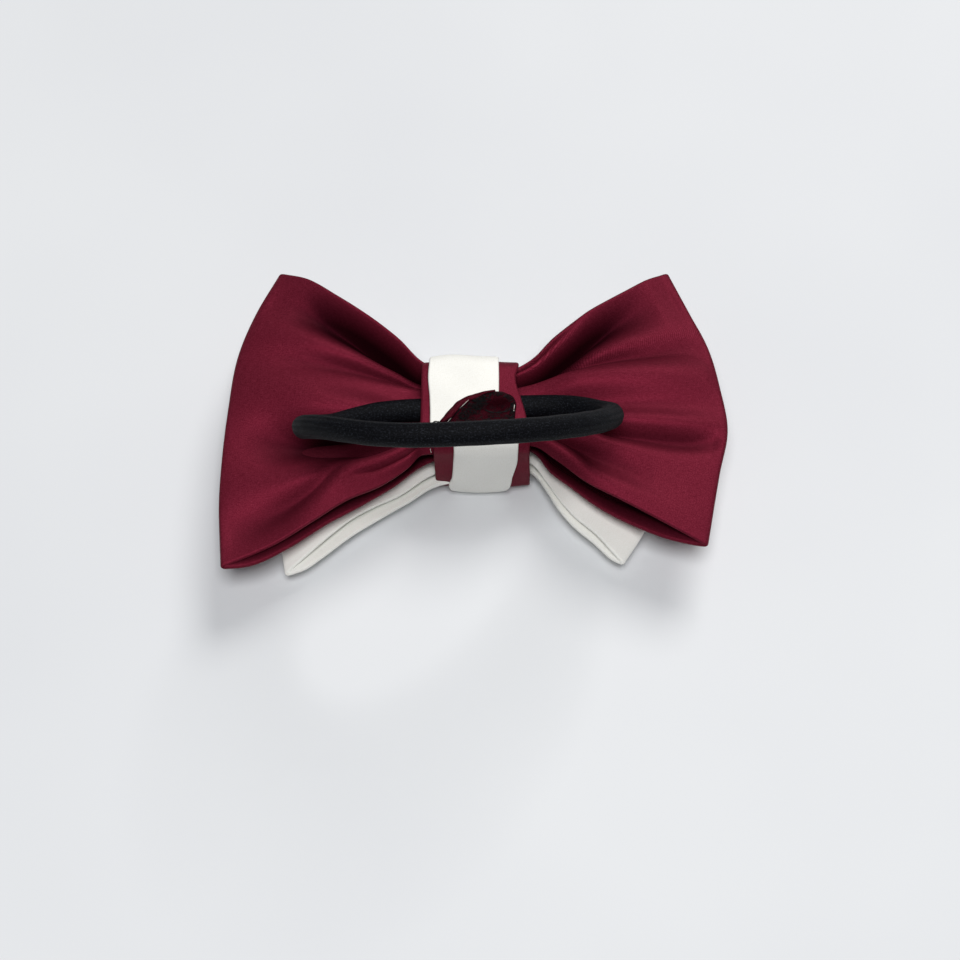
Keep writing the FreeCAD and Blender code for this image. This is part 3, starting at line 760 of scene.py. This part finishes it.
def elastic():
    rows, columns = 1100, 60
    line, outward, normal, where, total = elastic_path(rows)
    angle = np.linspace(0, math.tau, columns, endpoint=False)
    turns = round(total / PLAIT_LENGTH)
    phase = where[:, None] / total * math.tau * turns
    first = np.sin(PLAITS * angle[None, :] + phase * PLAITS / 2)
    second = np.sin(PLAITS * angle[None, :] - phase * PLAITS / 2)
    height = 0.075 * (np.abs(first) + np.abs(second))
    height += 0.03 * wave_noise(31, angle[None, :] * 3, phase, 1.0)
    radius = BRAID_RADIUS + height
    points = (line[:, None, :] + radius[..., None] * (np.cos(angle)[None, :, None] * outward[:, None, :]
                                                      + np.sin(angle)[None, :, None] * normal[None, None, :]))
    index = np.arange(rows * columns).reshape(rows, columns)
    ahead, beside = np.roll(index, -1, axis=0), np.roll(index, -1, axis=1)
    faces = np.stack([index, beside, np.roll(beside, -1, axis=0), ahead], axis=-1).reshape(-1, 4)
    uv = np.stack([np.broadcast_to(where[:, None], (rows, columns)),
                   np.broadcast_to(angle[None, :] * 2.2, (rows, columns))], axis=-1)
    piece = new_mesh("elastic_braid", points.reshape(-1, 3), faces.tolist(), uv.reshape(-1, 2))
    piece.data.materials.append(BRAID)
    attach(piece, "elastic_loop")
    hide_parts("elastic_cover", "elastic_core", "elastic_bonded_joint")


# ---- the seam's raw edge and its threads

def tubes(name, lines, material):
    """Thin threads along smooth lines: (points, radius) in millimetres, as one mesh."""
    points, faces = [], []
    sides = 6
    for controls, radius in lines:
        count = max(6, int(np.linalg.norm(np.diff(controls, axis=0), axis=1).sum() / 0.16))
        line = through(controls, np.linspace(0, 1, count))
        tangent = np.gradient(line, axis=0)
        tangent /= np.maximum(np.linalg.norm(tangent, axis=1, keepdims=True), 1e-9)
        helper = np.where(np.abs(tangent[:, 2:]) > 0.9, (1.0, 0.0, 0.0), (0.0, 0.0, 1.0))
        across = np.cross(tangent, helper)
        across /= np.linalg.norm(across, axis=1, keepdims=True)
        above = np.cross(across, tangent)
        first = len(points)
        for place in range(count):
            for side in range(sides):
                turn = math.tau * side / sides + place * 0.4
                points.append(line[place] + radius * (math.cos(turn) * across[place]
                                                      + math.sin(turn) * above[place]))
        for place in range(count - 1):
            a, b = first + place * sides, first + (place + 1) * sides
            for side in range(sides):
                faces.append((a + side, a + (side + 1) % sides, b + (side + 1) % sides, b + side))
        faces.append(tuple(range(first, first + sides))[::-1])
        faces.append(tuple(range(first + (count - 1) * sides, first + count * sides)))
    piece = new_mesh(name, points, faces)
    piece.data.materials.append(material)
    return piece


# The seam allowance's outline and its stitches: (x, y) in millimetres.
FLAP_TOP = [(-8.4, -6.9), (-6.9, -5.75), (-5.5, -3.9), (-3.9, -2.0), (-2.2, -0.75), (-0.6, -0.2), (1.5, 0.4),
            (3.7, 0.65), (6.0, 0.4), (7.2, -0.3), (7.8, -1.6)]
FLAP_FOOT = [(-8.0, -8.3), (-5.0, -8.6), (0.0, -8.8), (5.0, -8.8), (7.2, -8.4)]
STITCH_LINE = [(-6.6, -6.7), (-5.4, -5.7), (-4.4, -4.5), (-3.6, -3.4), (-2.6, -2.6), (-1.3, -1.3),
               (-0.2, -0.55), (1.6, -0.25)]
LOOPS_OVER = [(-0.8, -0.35), (1.5, 0.2), (3.7, 0.4), (5.9, 0.15), (7.0, -0.5), (7.5, -1.7), (7.4, -3.2),
              (7.1, -5.0), (6.8, -6.8)]
LOOPS_INSIDE = [(-0.4, -1.5), (1.6, -0.7), (3.7, -0.45), (5.4, -0.7), (6.3, -1.3), (6.8, -2.2),
                (6.7, -3.4), (6.4, -5.0), (6.1, -6.8)]
FLAP_BASE = box("strap_end_tab")[0][2] + 0.5
MOUTH_X, MOUTH_Y, MOUTH_REACH = 4.4, -2.2, 2.5


def flap_height(x, y, share):
    """Height of the seam allowance: it rises off the band, with a mouth near its right end."""
    rise = FLAP_BASE + 0.95 * np.exp(-((share - 0.12) / 0.18) ** 2) * np.exp(-((x + 1.0) / 6.5) ** 4)
    rise += 0.55 * np.exp(-((x - 4.5) / 4.2) ** 2) * np.exp(-((y + 0.5) / 1.2) ** 2)
    from_mouth = x - MOUTH_X
    mouth = (from_mouth / MOUTH_REACH) ** 2 + ((y - MOUTH_Y - 0.12 * from_mouth) / 1.2) ** 2
    rise -= 1.1 * np.exp(-mouth ** 1.5)
    rise += 0.25 * np.exp(-((mouth - 1.25) / 0.4) ** 2)
    rise += 0.12 * wave_noise(41, x, y, 1.6)
    return rise


def on_flap(x, y, lift):
    """A point that stands off the seam allowance by lift millimetres."""
    upper, lower = (np.interp(x, *np.array(outline).T) for outline in (FLAP_TOP[:9], FLAP_FOOT))
    share = np.clip((upper - y) / (upper - lower), 0, 1)
    return (x, y, float(flap_height(np.array(x), np.array(y), np.array(share))) + lift)


def flap_cloth():
    """The seam allowance itself."""
    columns, rows = 80, 46
    across = np.linspace(0, 1, columns)
    top, foot = through(FLAP_TOP, across), through(FLAP_FOOT, across)
    share = np.linspace(0, 1, rows)[:, None]
    flat = top[None] * (1 - share[..., None]) + foot[None] * share[..., None]
    flat[..., 1] += 0.08 * wave_noise(43, flat[..., 0], flat[..., 1], 3.0)
    z = flap_height(flat[..., 0], flat[..., 1], share) - 0.4 * ease((share - 0.75) / 0.25)
    grid = np.concatenate([flat, z[..., None]], axis=-1)
    full = np.minimum(1, np.minimum(np.arange(columns), np.arange(columns)[::-1]) / 3.0)
    cloth = cloth_solid("strap_end_cloth", grid, 0.45 * (0.25 + 0.75 * full)[None, :], closed=False)
    cloth.data.materials.append(DARK_BURGUNDY)
    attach(cloth, "bow")
    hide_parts("strap_end_tab")
    return cloth


def flap_fold():
    """The allowance's own edge, folded over: a narrow strip along its upper left side."""
    rows, columns = 60, 9
    along, down = np.linspace(0, 1, rows), np.linspace(0, 1, columns)
    outline = through(FLAP_TOP[1:8], along)
    width = np.interp(along, [0, 0.15, 0.7, 1], [0.6, 1.6, 1.2, 0.3])
    side = np.gradient(outline, axis=0)
    side = np.stack([side[:, 1], -side[:, 0]], axis=1) / np.linalg.norm(side, axis=1, keepdims=True)
    flat = outline[:, None] + side[:, None] * (width[:, None] * down[None])[..., None]
    x, y = flat[..., 0], flat[..., 1]
    z = flap_height(x, y, 0.05 + 0.12 * down[None]) + 0.42
    z += 0.22 * np.sin(down * math.pi)[None] + 0.05 * wave_noise(44, x, y, 3.0)
    grid = np.concatenate([flat, z[..., None]], axis=-1)
    thickness = 0.32 * np.sin(np.linspace(0.25, math.pi - 0.25, columns))
    edge = cloth_solid("strap_end_fold", grid, thickness[None, :], closed=False)
    edge.data.materials.append(WORN_BURGUNDY)
    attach(edge, "bow")
    return edge


def coil(x, y, half_width, half_height, turn, step, lifts):
    """Points of a loose loop of thread on the flap, one for each lift."""
    angles = [turn + place * step for place in range(len(lifts))]
    return [on_flap(x + half_width * math.cos(angle), y + half_height * math.sin(angle), lift)
            for angle, lift in zip(angles, lifts)]


def edge_loops(chance, count, jitter):
    """Overlock: a thread that goes over the edge and comes back through the cloth."""
    path = []
    both = (through(line, np.linspace(0, 1, count)) for line in (LOOPS_OVER, LOOPS_INSIDE))
    for over, inside in zip(*both):
        shake = [chance.uniform(-jitter, jitter) for _ in range(4)]
        path.append(on_flap(over[0] + shake[0], over[1] + 0.12 + shake[1], -0.1))
        path.append(on_flap(over[0] + 0.1, over[1] - 0.15, 0.36))
        path.append(on_flap(inside[0] + shake[2], inside[1] + shake[3], 0.32))
    return path


def stitch_lines(chance):
    """The overlock's two lower lines, parallel to the edge, then its loops."""
    places = through(STITCH_LINE, np.linspace(0, 1, 26))
    lines = []
    for shift in (0.0, 0.22):
        lines.append(([on_flap(x + chance.uniform(-0.1, 0.1), y - shift + chance.uniform(-0.08, 0.08), 0.34)
                       for x, y in places], 0.12))
    for count, radius, jitter in ((34, 0.09, 0.2), (21, 0.07, 0.35)):
        lines.append((edge_loops(chance, count, jitter), radius))
    return lines


def tangle(chance):
    """Loose loops in the middle of the flap."""
    lines = []
    for _ in range(44):
        share = chance.random()
        x = -2.6 + 4.4 * share + chance.uniform(-0.7, 0.7)
        y = -4.6 + 3.7 * share + chance.uniform(-0.7, 0.6)
        size, turn = chance.uniform(0.3, 0.8), chance.uniform(0, math.tau)
        path = coil(x, y, 1.3 * size, 0.7 * size, turn, 1.1, [0.2, 0.5, 0.2, 0.5, 0.2, 0.5, 0.2])
        lines.append((path, chance.uniform(0.05, 0.08)))
    return lines


def mouth_rim(chance):
    """Three threads round the lower rim of the mouth."""
    lines = []
    for size in (1.0, 1.07, 1.14):
        path = []
        for turn in (3.5 + place * 0.24 for place in range(14)):
            x = MOUTH_X + MOUTH_REACH * size * math.cos(turn) + chance.uniform(-0.1, 0.1)
            y = MOUTH_Y + 1.25 * size * math.sin(turn) + 0.3 * math.cos(turn) + chance.uniform(-0.08, 0.08)
            path.append(on_flap(x, y, 0.28))
        lines.append((path, 0.075))
    return lines


def fine_mesh(chance):
    """Short fine threads below the mouth, then a few in it."""
    lines = []
    for _ in range(100):
        x, y = chance.uniform(-3.5, 6.6), chance.uniform(-7.4, -3.6)
        length, turn = chance.uniform(0.6, 1.8), chance.uniform(-0.7, 0.7)
        path = [on_flap(x + length * share * math.cos(turn),
                        y + length * share * math.sin(turn) + 0.15 * math.sin(share * 9), 0.27)
                for share in (-0.5, -0.2, 0.1, 0.5)]
        lines.append((path, 0.055))
    for _ in range(12):
        x, y = 4.5 + chance.uniform(-1.6, 1.6), -2.3 + chance.uniform(-0.8, 0.9)
        lines.append(([on_flap(x - 0.4, y - 0.3, 0.26), on_flap(x, y, 0.30),
                       on_flap(x + 0.4, y + 0.35, 0.26)], 0.06))
    return lines


def bunched_ends(chance):
    """The thread ends, drawn up together at the left."""
    lines = []
    for _ in range(9):
        x, y, size = chance.uniform(-8.0, -6.0), chance.uniform(-7.0, -6.0), chance.uniform(0.3, 0.7)
        turn = chance.uniform(0, math.tau)
        lines.append((coil(x, y, size, 0.6 * size, turn, 1.3, [0.2, 0.35, 0.5, 0.2, 0.35, 0.5]), 0.12))
    return lines


def flap():
    """The strap's end with its raw seam: two pieces of cloth, the stitches, loose ends and painted highlights
    on the stitches.
    """
    cloth = flap_cloth()
    edge = flap_fold()

    chance = random.Random(47)
    lines = []
    for part in (stitch_lines, tangle, mouth_rim, fine_mesh, bunched_ends):
        lines += part(chance)
    threads = tubes("overlock_stitches", lines, BLACK_THREAD)
    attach(threads, "bow")
    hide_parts("overlock_thread")

    # A loose pale thread end, then painted highlights: pale lines laid along the black stitches where these
    # catch the light.
    pale = [([(-8.75, -9.75, 18.6), (-8.7, -9.95, 18.1), (-8.62, -10.0, 17.6), (-8.6, -9.9, 17.2)], 0.06),
            ([on_flap(x, y - 0.1, 0.62) for x, y in STITCH_LINE[1:4]], 0.05),
            ([on_flap(x, y - 0.12, 0.62) for x, y in STITCH_LINE[3:6]], 0.045),
            ([on_flap(7.45, -2.0, 0.42), on_flap(7.35, -2.8, 0.45), on_flap(7.3, -3.4, 0.4)], 0.07),
            ([on_flap(6.95, -5.2, 0.42), on_flap(6.85, -5.9, 0.45), on_flap(6.75, -6.6, 0.4)], 0.08)]
    pale_end_and_glints = tubes("pale_thread_end_and_glints", pale, PALE_THREAD_AND_GLINTS)
    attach(pale_end_and_glints, "bow")
    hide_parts("tacking_thread")


outer_bow()
inner_bow()
knot()
elastic()
flap()

# ---- camera, light and floor

CAMERA_ELEVATION = math.radians(63)
CAMERA_DISTANCE = 0.5
CAMERA_LENS = 95.2
AIM_RIGHT, AIM_DOWN = 0.0008, 0.01103       # metres from the middle of the knot


def aimed(data, place, direction):
    """A camera or a lamp at a place, looking along a direction."""
    thing = bpy.data.objects.new(data.name, data)
    thing.location = place
    thing.rotation_mode = "QUATERNION"
    thing.rotation_quaternion = direction.to_track_quat("-Z", "Y")
    bpy.context.scene.collection.objects.link(thing)
    return thing


def camera():
    """Looks down on the back of the bow, with the knot a little above the middle."""
    knot = (Vector(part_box("centre_strap")[0]) + Vector(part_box("centre_strap")[1])) / 2
    back = Vector((0, -math.cos(CAMERA_ELEVATION), math.sin(CAMERA_ELEVATION)))
    up = Vector((0, math.sin(CAMERA_ELEVATION), math.cos(CAMERA_ELEVATION)))
    aim = knot + Vector((AIM_RIGHT, 0, 0)) - up * AIM_DOWN
    data = bpy.data.cameras.new("camera")
    data.lens = CAMERA_LENS
    data.sensor_width = 36
    bpy.context.scene.camera = aimed(data, aim + back * CAMERA_DISTANCE, -back)


def area_light(name, place, size, watts, colour):
    data = bpy.data.lights.new(name, "AREA")
    data.shape = "DISK"
    data.size = size
    data.energy = watts
    data.color = colour
    aimed(data, place, -Vector(place))


def studio():
    area_light("key", (0.55, 1.20, 1.50), 1.0, 20.0, (1.0, 0.985, 0.965))
    area_light("overhead", (0.0, -0.58, 1.75), 0.7, 23.0, (0.985, 0.99, 1.0))
    world = bpy.data.worlds.new("studio")
    world.use_nodes = True
    world.node_tree.nodes["Background"].inputs["Color"].default_value = (0.93, 0.95, 1.0, 1)
    world.node_tree.nodes["Background"].inputs["Strength"].default_value = 0.07
    bpy.context.scene.world = world


def floor():
    size = 1500.0
    corners = [(-size, -size, 0), (size, -size, 0), (size, size, 0), (-size, size, 0)]
    piece = new_mesh("floor", corners, [(0, 1, 2, 3)], smooth=False)
    n = Nodes("pale_floor")
    place = n.add("ShaderNodeTexCoord").outputs["Object"]
    cloudy = n.noise(n.stretch(place, (7, 7, 7)), 1.0, 3.0, 0.5)
    n.surface({"Base Color": n.ramp(cloudy, (0.3, rgb(222, 224, 227)), (0.7, rgb(229, 231, 233))),
               "Roughness": 0.5, "Specular IOR Level": 0.25})
    piece.data.materials.append(n.material)


camera()
studio()
floor()
bpy.context.scene.view_settings.view_transform = "Standard"
